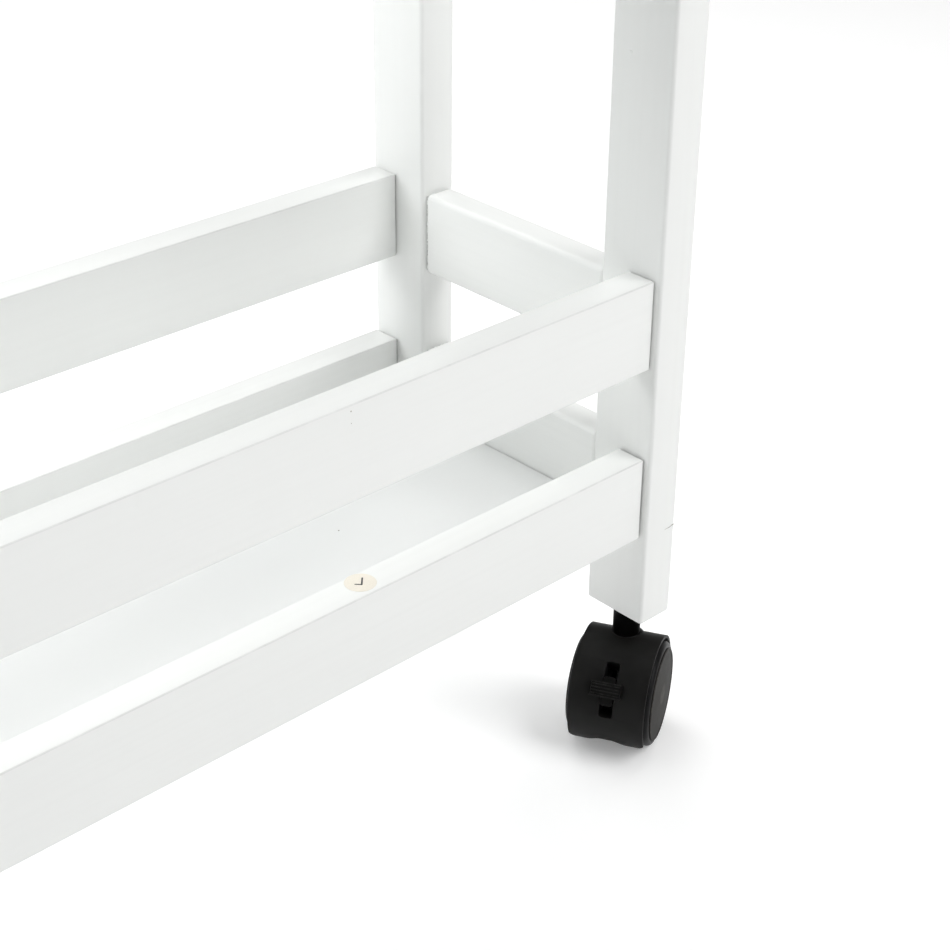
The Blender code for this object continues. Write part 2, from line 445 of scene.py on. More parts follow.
def solid(shape):
    """A bare object that holds a shape, to join to another or to cut with."""
    bmesh.ops.recalc_face_normals(shape, faces=shape.faces)
    mesh = bpy.data.meshes.new("solid")
    shape.to_mesh(mesh)
    shape.free()
    return placed("solid", mesh)


def carved(body, joined, removed, edge=0.0, segments=2, angle=32.0):
    """The shape left when shapes are joined to a body and others cut from it, edges rounded."""
    base = solid(body)
    tools = []
    for operation, shapes in (("UNION", joined), ("DIFFERENCE", removed)):
        for shape in shapes:
            tool = solid(shape)
            tools.append(tool)
            step = base.modifiers.new("Carve", "BOOLEAN")
            step.operation = operation
            step.solver = "EXACT"
            step.object = tool
    if edge:
        step = base.modifiers.new("Round", "BEVEL")
        step.width = edge
        step.segments = segments
        step.limit_method = "ANGLE"
        step.angle_limit = math.radians(angle)
        step.use_clamp_overlap = True
    bpy.context.view_layer.update()
    graph = bpy.context.evaluated_depsgraph_get()
    mesh = bpy.data.meshes.new_from_object(base.evaluated_get(graph))
    for obj in (base, *tools):
        bpy.data.objects.remove(obj)
    shape = bmesh.new()
    shape.from_mesh(mesh)
    bpy.data.meshes.remove(mesh)
    return shape


def settle(piece, body, slot, *nodes):
    """Fixes a piece to a body of the cart and hides the parts that it stands for. The slot
    argument is not used.
    """
    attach(piece, body)
    if nodes:
        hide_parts(*nodes)


# Finishes


class Finish:
    """A material's node tree while it is being wired."""

    def __init__(self, name, colour, roughness):
        self.material = bpy.data.materials.new(name)
        self.material.use_nodes = True
        self.tree = self.material.node_tree
        self.shader = self.tree.nodes["Principled BSDF"]
        self.shader.inputs["Base Color"].default_value = (*colour, 1.0)
        self.shader.inputs["Roughness"].default_value = roughness
        self.place = self.node("ShaderNodeTexCoord").outputs["Object"]

    def node(self, kind, values=None, **options):
        made = self.tree.nodes.new(kind)
        for name, value in options.items():
            setattr(made, name, value)
        for name, value in (values or {}).items():
            made.inputs[name].default_value = value
        return made

    def link(self, source, target):
        self.tree.links.new(source, target)

    def feed(self, name, source):
        """Links a value into the shader's socket of that name."""
        self.link(source, self.shader.inputs[name])

    def stretched(self, scale):
        """The object's own coordinates, scaled along each axis."""
        made = self.node("ShaderNodeMapping", {"Scale": scale})
        self.link(self.place, made.inputs["Vector"])
        return made.outputs["Vector"]

    def noise(self, scale, detail=2.0, roughness=0.5, place=None):
        values = {"Scale": scale, "Detail": detail, "Roughness": roughness}
        made = self.node("ShaderNodeTexNoise", values)
        self.link(place or self.place, made.inputs["Vector"])
        return made.outputs["Fac"]

    def ramp(self, value, low, high, start=0.0, end=1.0):
        """A value between low and high, spread from start to end."""
        values = {"From Min": low, "From Max": high, "To Min": start, "To Max": end}
        made = self.node("ShaderNodeMapRange", values)
        self.link(value, made.inputs["Value"])
        return made.outputs["Result"]

    def times(self, first, second):
        made = self.node("ShaderNodeMath", operation="MULTIPLY")
        self.link(first, made.inputs[0])
        if isinstance(second, float):
            made.inputs[1].default_value = second
        else:
            self.link(second, made.inputs[1])
        return made.outputs["Value"]

    def plus(self, first, second):
        made = self.node("ShaderNodeMath", operation="ADD", use_clamp=True)
        self.link(first, made.inputs[0])
        self.link(second, made.inputs[1])
        return made.outputs["Value"]

    def mix(self, factor, first, second):
        """A colour between two, each a colour or a socket."""
        made = self.node("ShaderNodeMix", data_type="RGBA")
        self.link(factor, made.inputs["Factor"])
        for socket, colour in ((made.inputs[6], first), (made.inputs[7], second)):
            if isinstance(colour, tuple):
                socket.default_value = (*colour, 1.0)
            else:
                self.link(colour, socket)
        return made.outputs[2]

    def specks(self, scale, size, share):
        """Small round dots, one in a share of the cells of a loose grid."""
        cells = self.node("ShaderNodeTexVoronoi", {"Scale": scale})
        self.link(self.place, cells.inputs["Vector"])
        dots = self.ramp(cells.outputs["Distance"], size, size * 0.5)
        pick = self.node("ShaderNodeSeparateColor")
        self.link(cells.outputs["Color"], pick.inputs["Color"])
        chosen = self.ramp(pick.outputs["Red"], 1.0 - share, 1.0 - share + 0.001)
        return self.times(dots, chosen)

    def edge(self):
        made = self.node("ShaderNodeAttribute", attribute_name="edge")
        return made.outputs["Fac"]

    def bump(self, height, distance, strength, under=None):
        made = self.node("ShaderNodeBump", {"Distance": distance, "Strength": strength})
        self.link(height, made.inputs["Height"])
        if under:
            self.link(under, made.inputs["Normal"])
        return made.outputs["Normal"]


def shade(colour, by):
    return tuple(part * by for part in colour)


def paint_finish(name, grain_along, painted_edge_light):
    """Sprayed satin paint on wood: orange peel, faint grain, dust specks, and painted shade in a
    thin grey line along the rounded edges.
    """
    wood = settings().wood
    colour = tuple(wood.paint_colour)
    paint = Finish(name, colour, wood.paint_roughness)
    along = {"X": (7.0, 420.0, 420.0), "Y": (420.0, 7.0, 420.0), "Z": (420.0, 420.0, 7.0)}
    grain = paint.noise(1.0, 4.0, 0.6, paint.stretched(along[grain_along]))
    cloud = paint.noise(9.0, 3.0, 0.55)
    peel = paint.noise(850.0, 2.0, 0.5)
    # Painted shade: the rounded edges, broken up by a noise, are darkened towards 0.72 of the
    # paint's colour; the last argument sets how strong it is.
    thin = paint.times(paint.edge(), paint.ramp(paint.noise(60.0, 4.0, 0.65), 0.20, 0.60))
    tone = paint.mix(paint.ramp(cloud, 0.3, 0.7), colour, shade(colour, 0.985))
    tone = paint.mix(paint.ramp(grain, 0.45, 0.8), tone, shade(colour, 0.978))
    tone = paint.mix(paint.times(thin, painted_edge_light), tone, shade(colour, 0.72))
    dust = paint.plus(paint.specks(34.0, 0.016, 0.10), paint.specks(75.0, 0.020, 0.05))
    tone = paint.mix(paint.times(dust, 0.65), tone, (0.30, 0.28, 0.25))
    paint.feed("Base Color", tone)
    dull = paint.ramp(cloud, 0.2, 0.8, wood.paint_roughness - 0.05, wood.paint_roughness + 0.07)
    paint.feed("Roughness", dull)
    raised = paint.bump(grain, 0.00012, 0.22)
    raised = paint.bump(peel, 0.00006, 0.30, raised)
    raised = paint.bump(dust, 0.00020, 0.60, raised)
    paint.feed("Normal", raised)
    paint.shader.inputs["Specular IOR Level"].default_value = 0.35
    return paint.material


def shelf_finish():
    """Smooth lacquered board: flatter and a little glossier than the rails."""
    wood = settings().wood
    colour = tuple(wood.shelf_colour)
    board = Finish("shelf_lacquer", colour, 0.30)
    cloud = board.noise(5.0, 3.0, 0.5)
    peel = board.noise(500.0, 2.0, 0.5)
    dust = board.plus(board.specks(28.0, 0.014, 0.10), board.specks(90.0, 0.022, 0.04))
    tone = board.mix(board.ramp(cloud, 0.3, 0.7), colour, shade(colour, 0.98))
    # Painted shade: the rounded edges darkened towards 0.86 of the colour, at half strength.
    tone = board.mix(board.times(board.edge(), 0.5), tone, shade(colour, 0.86))
    tone = board.mix(board.times(dust, 0.6), tone, (0.34, 0.32, 0.29))
    board.feed("Base Color", tone)
    board.feed("Roughness", board.ramp(cloud, 0.2, 0.8, 0.26, 0.36))
    raised = board.bump(cloud, 0.0006, 0.12)
    raised = board.bump(peel, 0.00004, 0.18, raised)
    board.feed("Normal", raised)
    board.shader.inputs["Specular IOR Level"].default_value = 0.40
    return board.material


def joint_finish(name, colour):
    """The line where a rail meets a post, coloured as painted shadow in the gap: dark, grey, or a
    little darker than the paint where the paint closes it.
    """
    line = Finish(name, colour, 0.85)
    fibre = line.noise(900.0, 4.0, 0.7)
    tone = line.mix(line.ramp(fibre, 0.3, 0.7), shade(colour, 0.6), shade(colour, 1.5))
    line.feed("Base Color", tone)
    line.feed("Normal", line.bump(fibre, 0.0002, 0.6))
    line.shader.inputs["Specular IOR Level"].default_value = 0.1
    return line.material


def plastic_finish(name, colour, roughness, painted_edge_light, shine):
    """Moulded black plastic: fine spark texture, flow marks, dust, and painted highlight on the
    rounded edges.
    """
    plastic = Finish(name, colour, roughness)
    spark = plastic.noise(2600.0, 3.0, 0.65)
    flow = plastic.noise(70.0, 4.0, 0.6)
    haze = plastic.noise(320.0, 5.0, 0.7)
    # Painted highlight: the rounded edges, broken up by a noise, are lightened towards five times
    # the colour; the fourth argument sets how strong it is.
    painted_edge_highlight = plastic.times(plastic.edge(), plastic.ramp(haze, 0.30, 0.62))
    tone = plastic.mix(plastic.ramp(flow, 0.35, 0.68), colour, shade(colour, 1.45))
    tone = plastic.mix(plastic.times(painted_edge_highlight, painted_edge_light), tone, shade(colour, 5.0))
    dust = plastic.specks(240.0, 0.05, 0.10)
    tone = plastic.mix(plastic.times(dust, 0.35), tone, (0.16, 0.15, 0.14))
    plastic.feed("Base Color", tone)
    dull = plastic.ramp(flow, 0.2, 0.8, roughness - 0.07, roughness + 0.09)
    plastic.feed("Roughness", dull)
    raised = plastic.bump(spark, 0.00004, 0.45)
    raised = plastic.bump(haze, 0.00004, 0.20, raised)
    plastic.feed("Normal", raised)
    plastic.shader.inputs["Specular IOR Level"].default_value = shine
    return plastic.material


def steel_finish(name, colour, roughness):
    """Plated steel with turning marks round the pin."""
    steel = Finish(name, colour, roughness)
    rings = steel.noise(1.0, 3.0, 0.6, steel.stretched((300.0, 300.0, 5200.0)))
    spots = steel.noise(420.0, 4.0, 0.6)
    tone = steel.mix(steel.ramp(spots, 0.4, 0.75), colour, shade(colour, 0.7))
    steel.feed("Base Color", tone)
    dull = steel.ramp(spots, 0.3, 0.7, roughness - 0.06, roughness + 0.1)
    steel.feed("Roughness", dull)
    steel.feed("Normal", steel.bump(rings, 0.00003, 0.4))
    steel.shader.inputs["Metallic"].default_value = 1.0
    return steel.material


def paper_finish():
    colour = tuple(settings().label.paper_colour)
    paper = Finish("label_paper", colour, 0.85)
    fibre = paper.noise(2400.0, 5.0, 0.7)
    tone = paper.mix(paper.ramp(fibre, 0.3, 0.75), colour, shade(colour, 0.88))
    paper.feed("Base Color", tone)
    paper.feed("Normal", paper.bump(fibre, 0.00003, 0.5))
    return paper.material


def ink_finish():
    colour = tuple(settings().label.ink_colour)
    ink = Finish("pen_ink", colour, 0.5)
    skips = ink.noise(1800.0, 3.0, 0.6)
    tone = ink.mix(ink.ramp(skips, 0.5, 0.8), colour, shade(colour, 3.0))
    ink.feed("Base Color", tone)
    return ink.material


def floor_finish():
    """A pale matt floor that gives a little light of its own, like a lit studio sweep."""
    colour = tuple(settings().stage.floor_colour)
    floor = Finish("studio_floor", colour, 0.9)
    cloud = floor.noise(2.0, 2.0, 0.5)
    tone = floor.mix(floor.ramp(cloud, 0.3, 0.7), colour, shade(colour, 0.995))
    floor.feed("Base Color", tone)
    floor.shader.inputs["Emission Color"].default_value = (1.0, 1.0, 1.0, 1.0)
    floor.shader.inputs["Emission Strength"].default_value = settings().stage.floor_glow
    floor.shader.inputs["Specular IOR Level"].default_value = 0.0
    return floor.material


# Pieces


def painted_block(node, radius, segments, paint):
    low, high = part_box(node)
    shape = block_shape(low, high, radius, segments)
    settle(finish_mesh(f"{node}_painted", shape, paint), "frame", "frame_paint", node)


class CART_OT_posts(bpy.types.Operator):
    """Make the four posts"""

    bl_idname = "pantry_cart.posts"
    bl_label = "Posts"

    def execute(self, context):
        paint = paint_finish("post_paint", "Z", 0.12)
        for corner in CORNERS:
            painted_block(f"post_{corner}", settings().wood.post_round, 5, paint)
        return {"FINISHED"}


def rail_outline(low, high, outer, rebated):
    """A long rail's section in Y and Z, from its outer face to its inner one."""
    near, far = (low.y, high.y) if outer < 0 else (high.y, low.y)
    if not rebated:
        return [(near, low.z), (far, low.z), (far, high.z), (near, high.z)]
    reach = settings().wood.rebate * (1 if outer < 0 else -1)
    step = low.z + 0.0065
    lower = [(near, low.z), (far - reach, low.z), (far - reach, step)]
    return lower + [(far, step), (far, high.z), (near, high.z)]


class CART_OT_long_rails(bpy.types.Operator):
    """Make the front and back rails of each tray"""

    bl_idname = "pantry_cart.long_rails"
    bl_label = "Long rails"

    def execute(self, context):
        paint = paint_finish("long_rail_paint", "X", 0.50)
        for tray in TRAYS:
            for side, outer in (("front", -1), ("back", 1)):
                for level in ("low", "high"):
                    self.make_rail(f"{tray}_rail_{side}_{level}", outer, level == "low", paint)
        return {"FINISHED"}

    def make_rail(self, node, outer, rebated, paint):
        low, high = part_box(node)
        trim = 0.0003 if rebated else 0.0
        outline = rail_outline(low, high, outer, rebated)
        shape = extruded_shape(outline, low.x + trim, high.x - trim)
        round_outward(shape, settings().wood.rail_round, 4)
        rail = finish_mesh(f"{node}_painted", shape, paint)
        settle(rail, "frame", "frame_paint", node)


class CART_OT_end_rails(bpy.types.Operator):
    """Make the softer-edged rails across each end"""

    bl_idname = "pantry_cart.end_rails"
    bl_label = "End rails"

    def execute(self, context):
        paint = paint_finish("end_rail_paint", "Y", 0.12)
        for tray in TRAYS:
            for side in ("right", "left"):
                for level in ("low", "high"):
                    radius = settings().wood.end_round
                    painted_block(f"{tray}_end_{side}_{level}", radius, 6, paint)
        return {"FINISHED"}


class CART_OT_shelves(bpy.types.Operator):
    """Make the thin shelf boards, notched round the posts"""

    bl_idname = "pantry_cart.shelves"
    bl_label = "Shelves"

    def execute(self, context):
        board = shelf_finish()
        post_low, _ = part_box("post_front_right")
        _, post_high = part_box("post_front_left")
        notch_x = min(post_low.x, -post_high.x) - 0.0003
        notch_front = post_high.y + 0.0003
        notch_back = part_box("post_back_right")[0].y - 0.0003
        for tray in TRAYS:
            node = f"{tray}_shelf"
            low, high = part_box(node)
            outline = []
            for way in (1, -1):
                rows = (low.y, notch_front, notch_front, notch_back, notch_back, high.y)
                columns = (notch_x, notch_x, high.x, high.x, notch_x, notch_x)
                points = list(zip(columns, rows))
                outline += [(way * x, y) for x, y in (points if way > 0 else points[::-1])]
            shape = extruded_shape(outline, low.z, high.z, "Z")
            round_outward(shape, settings().wood.shelf_round, 2)
            shelf = finish_mesh(f"{node}_board", shape, board)
            settle(shelf, "frame", "shelf_paint", node)
        return {"FINISHED"}


class CART_OT_joint_lines(bpy.types.Operator):
    """Make the thin lines where the rails meet the posts: plates of painted shadow in the gaps,
    dark, grey, or near the paint's colour where painted over
    """

    bl_idname = "pantry_cart.joint_lines"
    bl_label = "Joint lines"

    def execute(self, context):
        wood = settings().wood
        # Painted shadow: the joint plates are dark on the low front rails, grey on the high front
        # rails, and a little darker than the paint on the others.
        low_joint_shadow = joint_finish("low_joint_painted_shadow", tuple(wood.low_joint_shadow_colour))
        thin = joint_finish("high_joint_painted_shadow", tuple(wood.high_joint_shadow_colour))
        faint_joint_shadow = joint_finish("faint_joint_painted_shadow", shade(wood.paint_colour, 0.85))
        for tray in TRAYS:
            self.make_pair(f"{tray}_rail_front_low", "x", "low", low_joint_shadow)
            self.make_pair(f"{tray}_rail_front_high", "x", "high", thin)
            for level in ("low", "high"):
                self.make_pair(f"{tray}_rail_back_{level}", "x", level, faint_joint_shadow)
                for side in ("right", "left"):
                    self.make_pair(f"{tray}_end_{side}_{level}", "y", level, faint_joint_shadow)
        return {"FINISHED"}

    def make_pair(self, node, axis, level, finish):
        """A thin plate at each end of a rail, in the gap before the post, coloured as painted
        shadow.
        """
        low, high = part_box(node)
        depth = Vector((1, 1, 1)) * settings().wood.joint_depth
        gap = 0.00042 if axis == "x" else 0.00024
        for end, face in (("near", getattr(high, axis)), ("far", getattr(low, axis))):
            way = 1 if end == "near" else -1
            inner = low + depth
            outer = high - depth
            if level == "low" and axis == "x":
                inner.z += 0.0066
            reach = sorted((face - way * 0.0002, face + way * gap))
            setattr(inner, axis, reach[0])
            setattr(outer, axis, reach[1])
            shape = block_shape(inner, outer, 0.0001, 1)
            line = finish_mesh(f"{node}_joint_{end}", shape, finish)
            settle(line, "frame", "frame_paint")


class CART_OT_label(bpy.types.Operator):
    """Make the small round paper label with a pen tick on the low front rail"""

    bl_idname = "pantry_cart.label"
    bl_label = "Paper label"

    def execute(self, context):
        label = settings().label
        rail_low, rail_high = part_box("bottom_rail_front_low")
        post_low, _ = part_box("post_front_right")
        across = rail_low.y + label.from_front
        middle = Vector((post_low.x - label.from_post, across, rail_high.z))
        radius = label.diameter / 2
        profile = [(0.0, 0.0), (0.0, radius), (0.00010, radius), (0.00013, radius - 0.0002)]
        profile += [(0.00013, radius * 0.5), (0.00013, 0.0)]
        disc = moved(turned_shape(profile, "Z", 64), middle)
        paper = finish_mesh("paper_label", disc, paper_finish())
        settle(paper, "frame", "shelf_paint")
        tick = [(-0.0024, 0.0003), (-0.0006, -0.0016), (0.0027, 0.0020)]
        ink = finish_mesh("pen_tick", self.stroke(tick, middle), ink_finish())
        settle(ink, "frame", "caster_plastic")
        return {"FINISHED"}

    def stroke(self, points, middle):
        """A flat pen line through points on the label, with round ends."""
        shape = bmesh.new()
        half = 0.00034
        for start, end in zip(points, points[1:]):
            run = Vector(end) - Vector(start)
            side = Vector((-run.y, run.x)).normalized() * half
            turn = math.atan2(side.y, side.x)
            ring = []
            for centre, begin in ((end, turn - math.pi), (start, turn)):
                for step in range(9):
                    spin = begin + math.pi * step / 8
                    x = centre[0] + half * math.cos(spin)
                    y = centre[1] + half * math.sin(spin)
                    ring.append((x, y))
            verts = [shape.verts.new((x, y, 0.00012)) for x, y in ring]
            thicken(shape, verts, (0, 0, 0.00003))
        return moved(shape, middle)


class CART_OT_paint_marks(bpy.types.Operator):
    """Make the small flaws in the paint: nail dots, a nib and a hairline"""

    bl_idname = "pantry_cart.paint_marks"
    bl_label = "Paint marks"

    def execute(self, context):
        faint = joint_finish("speck_dirt", (0.40, 0.38, 0.35))
        cracked = joint_finish("cracked_paint", (0.30, 0.27, 0.23))
        paint = paint_finish("nib_paint", "Z", 0.0)
        post_low, post_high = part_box("post_front_right")
        rail_low, rail_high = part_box("bottom_rail_front_high")
        shelf_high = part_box("bottom_shelf")[1]
        for number, (drop, radius) in enumerate(((0.0027, 0.00034), (0.0078, 0.00022))):
            at = Vector((post_low.x - 0.1692, rail_low.y, rail_high.z - drop))
            self.add_bead(f"rail_dot_{number}", radius, (1, 0.5, 1), at, faint, "frame_paint")
        at = Vector((post_low.x - 0.1040, 0.0, shelf_high.z))
        self.add_bead("shelf_dot", 0.0004, (1, 1, 0.5), at, faint, "shelf_paint")
        at = Vector((post_low.x, post_low.y + 0.0241, post_low.z + 0.2713))
        self.add_bead("post_nib", 0.0010, (0.45, 1, 1), at, paint, "frame_paint")
        crack = finish_mesh("post_hairline", self.hairline(post_low, post_high), cracked)
        settle(crack, "frame", "frame_paint")
        return {"FINISHED"}

    def add_bead(self, name, radius, scale, at, finish, slot):
        """A low round bead that sits half sunk in a face."""
        shape = bmesh.new()
        bmesh.ops.create_icosphere(shape, subdivisions=3, radius=radius)
        bmesh.ops.scale(shape, verts=shape.verts, vec=scale)
        settle(finish_mesh(name, moved(shape, at), finish), "frame", slot)

    def hairline(self, post_low, post_high):
        """A thin wavy crack over the outer half of the post's front, a little way up its foot."""
        shape = bmesh.new()
        steps = 14
        rows = []
        for step in range(steps + 1):
            share = step / steps
            x = post_high.x - 0.0008 - 0.0064 * share
            z = post_low.z + 0.0484 - 0.0007 * share + 0.00012 * math.sin(9 * share)
            half = 0.00019 * (1 - share) + 0.00005
            y = post_low.y - 0.00003
            rows.append([shape.verts.new((x, y, z + way * half)) for way in (1, -1)])
        for first, second in zip(rows, rows[1:]):
            shape.faces.new((first[0], first[1], second[1], second[0]))
        bmesh.ops.solidify(shape, geom=shape.faces[:], thickness=-0.0004)
        return shape


# Casters. Their shapes are made about the axle, with X along it, and set in place afterwards.
# Turns are in degrees from straight up towards the brake's side.

SLOT_TURNS = (32.0, 87.8)
SLOT_CORNER = 0.0011
PLATE_TURNS = (47.0, 74.5)
TAB_TURNS = (52.5, 66.0)
TAB_LEFT, TAB_RIGHT = -0.0087, 0.0065
LEVER_TURN = 60.75


def caster_places():
    """For each corner, its axle's place and turn, and how far the swivel is off it."""
    places = {}
    for corner in CORNERS:
        spin = JOINTS[f"caster_{corner}_wheel_a_spin"]
        swivel = JOINTS[f"caster_{corner}_swivel"]
        yaw = math.atan2(spin["axis"][1], spin["axis"][0])
        axle = Vector(spin["pos_m"])
        place = Matrix.Translation(axle) @ Matrix.Rotation(yaw, 4, "Z")
        trail = (place.inverted() @ Vector(swivel["pos_m"])).y
        places[corner] = (place, trail)
    return places


def put_copy(master, place, body, slot, node):
    """A copy of a caster piece, sharing its mesh, at one corner."""
    copy = placed(f"{node}_moulded", master.data)
    copy.matrix_world = place
    settle(copy, body, slot, node)


def rounded_slot(half, start, end, inner, outer, corner):
    """A curved block with rounded corners: the slot's cutter, and the plate that runs in it."""
    steps = 40
    rows = []
    shape = bmesh.new()
    reach = math.degrees(corner / outer)
    for step in range(steps + 1):
        turn = start + (end - start) * step / steps
        inset = min(turn - start, end - turn)
        cut = 0.0
        if inset < reach:
            near = 1.0 - inset / reach
            cut = corner * (1.0 - math.sqrt(max(0.0, 1.0 - near * near)))
        spin = math.radians(turn)
        rows.append(
            [
                shape.verts.new((x, -radius * math.sin(spin), radius * math.cos(spin)))
                for x, radius in (
                    (-half + cut, inner),
                    (half - cut, inner),
                    (half - cut, outer),
                    (-half + cut, outer),
                )
            ]
        )
    return joined_rows(shape, rows)


class CART_OT_hoods(bpy.types.Operator):
    """Make the moulded caster covers with their necks and webs"""

    bl_idname = "pantry_cart.hoods"
    bl_label = "Caster hoods"

    def execute(self, context):
        caster = settings().caster
        plastic = plastic_finish("hood_plastic", tuple(caster.hood_colour), 0.50, 0.40, 0.12)
        # Painted shadow: the neck under the post gets a plastic at 0.18 of the hood's colour.
        shadow = plastic_finish("neck_painted_shadow_plastic", shade(caster.hood_colour, 0.18), 0.40, 0.1, 0.02)
        places = caster_places()
        trail = places["front_right"][1]
        masters = {}
        for braked in (True, False):
            shape = self.make_shape(braked, trail)
            # Painted shadow: faces above the axle and more than 0.4 mm outside the cover's radius,
            # on the neck, take the darker plastic.
            for face in shape.faces:
                middle = face.calc_center_median()
                clear = math.hypot(middle.y, middle.z) - caster.hood_radius
                face.material_index = 1 if middle.z > 0 and clear > 0.0004 else 0
            masters[braked] = finish_mesh("hood_master", shape, plastic, 34.0, 0.0003)
            masters[braked].data.materials.append(shadow)
        for corner, (place, _) in places.items():
            body = f"caster_{corner}"
            put_copy(masters[corner in BRAKED], place, body, "caster_plastic", f"{body}_hood")
        for master in masters.values():
            bpy.data.objects.remove(master)
        return {"FINISHED"}

    def make_shape(self, braked, trail):
        caster = settings().caster
        radius = caster.hood_radius
        inside = radius - caster.hood_thickness
        half = caster.hood_half
        _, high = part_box("caster_front_right_hood")
        neck_top = high.z - JOINTS["caster_front_right_wheel_a_spin"]["pos_m"][2]
        outline = arc(radius, -80, 128, 72) + arc(0.0075, 150, 255, 12)
        body = extruded_shape(outline, -half, half)
        r = caster.neck_radius
        neck = [(0.0200, 0), (0.0200, r)]
        flare = 0.0026
        for step in range(9):
            turn = math.radians(90 * step / 8)
            reach = r + flare * (1 - math.cos(math.pi / 2 - turn))
            neck.append((0.0262 + flare * math.sin(turn), reach))
        neck += [(neck_top - 0.0006, r), (neck_top, r - 0.0005)]
        neck += [(neck_top, 0.0041), (neck_top - 0.014, 0.0041), (neck_top - 0.014, 0)]
        joined = [moved(turned_shape(neck, "Z", 48), (0, trail, 0))]
        removed = [
            drum(0.003, 0.03, inside, 96),
            drum(-0.003, -0.03, inside, 96),
            drum(-0.01, 0.01, 0.0028, 32),
            self.skirt_cutter(),
        ]
        if braked:
            start, end = SLOT_TURNS
            removed.append(
                rounded_slot(caster.slot_half, start, end, 0.0207, 0.034, SLOT_CORNER)
            )
            middle = (start + end) / 2
            hub = arc(0.0055, middle + 90, middle + 270, 12)
            spread = math.degrees(math.atan2(0.0096, 0.0215))
            ends = arc(math.hypot(0.0215, 0.0096), middle - spread, middle + spread, 1)
            removed.append(extruded_shape(hub + ends, -0.0011, 0.0011))
        return carved(body, joined, removed, 0.00045, 3, 40.0)

    def skirt_cutter(self):
        """Trims the cover's lower edge to two lobes with a shallow arch between."""
        shape = bmesh.new()
        steps = 48
        width = 0.022
        inner, outer = 0.020, 0.034
        below = math.radians(150)
        rows = []
        for step in range(steps + 1):
            x = -width + 2 * width * step / steps
            lobe = min(1.0, max(0.0, (abs(x) - 0.0025) / 0.0075))
            lobe = lobe * lobe * (3 - 2 * lobe)
            round_off = max(0.0, (abs(x) - 0.0155) / 0.0030)
            turn = math.radians(121.0 + 6.5 * lobe - 6.0 * round_off * round_off)
            corners = ((turn, inner), (turn, outer), (below, 0.040), (below, inner))
            rows.append(
                [
                    shape.verts.new((x, -math.sin(spin) * reach, math.cos(spin) * reach))
                    for spin, reach in corners
                ]
            )
        return joined_rows(shape, rows)


class CART_OT_wheels(bpy.types.Operator):
    """Make the twin wheels, each a rounded black tread round a greyer domed cap"""

    bl_idname = "pantry_cart.wheels"
    bl_label = "Caster wheels"

    def execute(self, context):
        caster = settings().caster
        tread = plastic_finish("tread_plastic", tuple(caster.tread_colour), 0.40, 0.5, 0.10)
        cap = plastic_finish("cap_plastic", tuple(caster.cap_colour), 0.55, 0.45, 0.06)
        masters = {side: self.make_master(way, tread, cap) for side, way in (("a", 1), ("b", -1))}
        for corner, (place, _) in caster_places().items():
            for side, master in masters.items():
                node = f"caster_{corner}_wheel_{side}"
                put_copy(master, place, node, "wheel_plastic", node)
        for master in masters.values():
            bpy.data.objects.remove(master)
        return {"FINISHED"}

    def make_master(self, way, tread, cap):
        """A turned wheel. Its tread curves in over the shoulder to a groove round the cap."""
        radius = JOINTS["caster_front_right_wheel_a_spin"]["pos_m"][2]
        inner, shoulder, face, cap_r = 0.0033, 0.0177, 0.0212, 0.0227
        profile = [(0.0160, 0), (0.0160, 0.0026), (inner, 0.0026)]
        profile += [(inner, radius - 0.0010), (inner + 0.0003, radius - 0.0003)]
        profile += [(inner + 0.0010, radius), (inner + 0.0060, radius)]
        for step in range(9):
            turn = math.radians(90 * step / 8)
            run = shoulder + 0.0026 * math.sin(turn)
            profile.append((run, cap_r + 0.0009 + (radius - cap_r - 0.0009) * math.cos(turn)))
        profile += [(shoulder + 0.0026, cap_r + 0.0005), (shoulder + 0.0023, cap_r + 0.0002)]
        cap_from = len(profile)
        profile += [(shoulder + 0.0023, cap_r - 0.0001)]
        for step in range(6):
            turn = math.radians(90 * step / 5)
            run = face - 0.0006 + 0.0006 * math.sin(turn)
            profile.append((run, cap_r - 0.0006 + 0.0006 * math.cos(turn)))
        profile += [(face, cap_r - 0.0014), (face - 0.0002, cap_r - 0.0018)]
        for step in range(1, 11):
            share = 1.0 - step / 10
            bulge = 0.0005 * (1 - share * share)
            profile.append((face - 0.0002 + bulge, (cap_r - 0.0022) * share))
        shape = turned_shape([(way * run, reach) for run, reach in profile], "X", 112)
        limit = profile[cap_from][1] + 0.00005
        for face_of in shape.faces:
            middle = face_of.calc_center_median()
            reach = math.hypot(middle.y, middle.z)
            outside = abs(middle.x) > shoulder + 0.0022
            face_of.material_index = 1 if outside and reach < limit else 0
        master = finish_mesh("wheel_master", shape, tread, 28.0, 0.0004)
        master.data.materials.append(cap)
        return master


